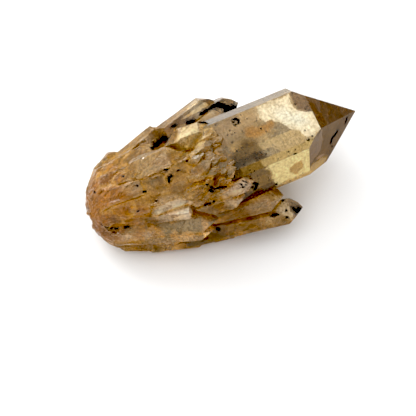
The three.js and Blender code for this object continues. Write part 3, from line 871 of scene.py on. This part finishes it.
def addRelief(tree, shader, look, height):
    # a height that tilts the shader's normal, by the look's strength and depth
    values = {"Strength": look["relief"], "Distance": look["reliefDepth"]}
    bump = addNode(tree, "ShaderNodeBump", values=values, links={"Height": height})
    tree.links.new(bump.outputs["Normal"], shader.inputs["Normal"])


def quartz(name, look):
    # the tone through veils, veins and oxide gives the colour, clouds the roughness, and striae the relief
    material, tree, shader = newMaterial(name)
    place = addNode(tree, "ShaderNodeTexCoord").outputs["Object"]
    toneAt = addNode(tree, "ShaderNodeAttribute", {"attribute_name": "tone"}).outputs
    growth = addNode(tree, "ShaderNodeAttribute", {"attribute_name": "growth"}).outputs["Vector"]
    amount = addNode(tree, "ShaderNodeAttribute", {"attribute_name": "oxide"}).outputs["Fac"]
    veils = addEffect(
        tree, "veils",
        {"Depth": look["veilDepth"], "Stretch": look["veilStretch"], "Mottle": look["mottle"],
         "Grain": look["grain"], "Grain Stretch": look["grainStretch"]},
        {"Tone": toneAt["Color"], "Place": place, "Growth": growth})
    veins = addEffect(
        tree, "veins",
        {"Stretch": look["veinStretch"], "Seams": look["seams"], "Glints": look["glints"]},
        {"Tone": veils.outputs["Tone"], "Growth": growth})
    oxide = addEffect(
        tree, "oxide", {"Specks": look["specks"]},
        {"Amount": amount, "Place": place, "Pepper": toneAt["Alpha"]}).outputs["Mask"]
    striae = addEffect(tree, "striae", {"Stretch": look["striae"]}, {"Growth": growth, "Place": place})
    colour = mixColour(tree, oxide, veins.outputs["Tone"], oxideFilm["tone"])
    tree.links.new(colour, shader.inputs["Base Color"])

    # cloudier places are rougher, and oxide is dull
    cloud = rescale(tree, veils.outputs["Cloud"], veilNoise["cloudRange"], look["gloss"])
    rough = mathNode(tree, "MAXIMUM", cloud, mathNode(tree, "MULTIPLY", oxide, oxideFilm["rough"]))
    tree.links.new(rough, shader.inputs["Roughness"])
    addRelief(tree, shader, look, striae.outputs["Height"])

    shader.inputs["IOR"].default_value = look["ior"]
    shader.inputs["Transmission Weight"].default_value = look["transmission"]
    shader.inputs["Specular IOR Level"].default_value = look["sheen"]
    inside = {"Color": look["glow"], "Density": look["density"]}
    absorption = addNode(tree, "ShaderNodeVolumeAbsorption", values=inside)
    tree.links.new(absorption.outputs[0], tree.nodes["Material Output"].inputs["Volume"])
    return material


# Black oxide crust: dull, with brown where it is thin
oxideCrust = {
    "black": (0.004, 0.0035, 0.003, 1), "brown": (0.03, 0.018, 0.009, 1), "thin": (0.55, 0.75),
    "grain": (3200, 3, 0.6), "grainRange": (0.3, 0.7), "rough": (0.6, 0.9), "sheen": 0.1,
    "relief": 0.5, "reliefDepth": 0.0001,  # metres
}


def oxideMaterial(name, look):
    # one fine noise gives the colour from black to brown, the roughness and the relief
    material, tree, shader = newMaterial(name)
    grain = noiseNode(tree, addNode(tree, "ShaderNodeTexCoord").outputs["Object"], *look["grain"])
    thin = rampBetween(tree, grain, *look["thin"])
    tree.links.new(mixColour(tree, thin, look["black"], look["brown"]), shader.inputs["Base Color"])
    tree.links.new(rescale(tree, grain, look["grainRange"], look["rough"]), shader.inputs["Roughness"])
    addRelief(tree, shader, look, grain)
    shader.inputs["Specular IOR Level"].default_value = look["sheen"]
    return material


piece = clusterPiece()
piece.data.materials.append(quartz("clearCitrine", clearCitrine))
piece.data.materials.append(quartz("cloudyCitrine", cloudyCitrine))
piece.data.materials.append(quartz("glassyCitrine", glassyCitrine))
piece.data.materials.append(quartz("milkyCitrine", milkyCitrine))
piece.data.materials.append(oxideMaterial("oxideCrust", oxideCrust))
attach(piece, "root")
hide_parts("citrine_cluster")
print("stage: cluster dressed")

# Floor, light and camera
studio = {
    "floorTone": (0.78, 0.78, 0.78, 1), "floorHalf": 1.5, "floorRough": 0.9,  # metres
    "skyFrom": (-0.36, 0.62, 0.70), "skySpan": (-0.4, 1.0), "skyGlow": (0.5, 2.15), "skyTone": (1, 1, 1, 1),
    "keyPower": 4.5, "keySize": 0.55, "keyAt": (-0.15, 0.8, 0.6),  # watts and metres
    "aim": (-5.426, -1.847, 0), "azimuth": -28.5, "elevation": 62, "distance": 550,  # mm and degrees
    "lens": 220.8, "sensor": 36,  # mm
    "clip": (0.01, 20),  # metres
    "blackPoint": 0.045,
}


def makeFloor():
    # a square round the origin, matt and pale
    half = studio["floorHalf"]
    mesh = bpy.data.meshes.new("floor")
    corners = [(-half, -half, 0), (half, -half, 0), (half, half, 0), (-half, half, 0)]
    mesh.from_pydata(corners, [], [(0, 1, 2, 3)])
    floor = bpy.data.objects.new("floor", mesh)
    scene.collection.objects.link(floor)
    material, _, shader = newMaterial("paleFloor")
    shader.inputs["Base Color"].default_value = studio["floorTone"]
    shader.inputs["Roughness"].default_value = studio["floorRough"]
    shader.inputs["Specular IOR Level"].default_value = 0.0
    mesh.materials.append(material)


def makeSky():
    # a broad soft sky, brightest at the back left and fading to a dim room at the front right
    world = bpy.data.worlds.new("studio")
    scene.world = world
    world.use_nodes = True
    tree = world.node_tree
    direction = addNode(tree, "ShaderNodeTexCoord").outputs["Generated"]
    towards = addNode(tree, "ShaderNodeVectorMath", {"operation": "DOT_PRODUCT"},
                      {1: Vector(studio["skyFrom"]).normalized()}, {0: direction}).outputs["Value"]
    glow = rescale(tree, towards, studio["skySpan"], studio["skyGlow"], "SMOOTHSTEP")
    tree.links.new(glow, tree.nodes["Background"].inputs["Strength"])
    tree.nodes["Background"].inputs["Color"].default_value = studio["skyTone"]


def makeKey():
    # one large soft lamp that faces the origin
    light = bpy.data.lights.new("softKey", "AREA")
    light.energy = studio["keyPower"]
    light.size = studio["keySize"]
    key = bpy.data.objects.new("softKey", light)
    key.location = studio["keyAt"]
    key.rotation_euler = (-Vector(studio["keyAt"])).to_track_quat("-Z", "Y").to_euler()
    scene.collection.objects.link(key)


def makeCamera():
    # the eye stands back from its aim by a distance, at an azimuth and an elevation
    camera = bpy.data.cameras.new("camera")
    camera.lens = studio["lens"]
    camera.sensor_width = studio["sensor"]
    camera.clip_start, camera.clip_end = studio["clip"]
    turn, up = math.radians(studio["azimuth"]), math.radians(studio["elevation"])
    back = Vector((math.sin(turn) * math.cos(up), -math.cos(turn) * math.cos(up), math.sin(up)))
    eye = bpy.data.objects.new("camera", camera)
    eye.location = Vector(studio["aim"]) * mm + back * studio["distance"] * mm
    eye.rotation_euler = back.to_track_quat("Z", "Y").to_euler()
    scene.collection.objects.link(eye)
    scene.camera = eye
    scene.view_settings.view_transform = "Standard"
    scene.cycles.use_denoising = True
    levels = scene.view_settings.curve_mapping
    scene.view_settings.use_curve_mapping = True
    levels.black_level = (studio["blackPoint"],) * 3
    levels.update()


makeFloor()
makeSky()
makeKey()
makeCamera()
print("stage: studio set")
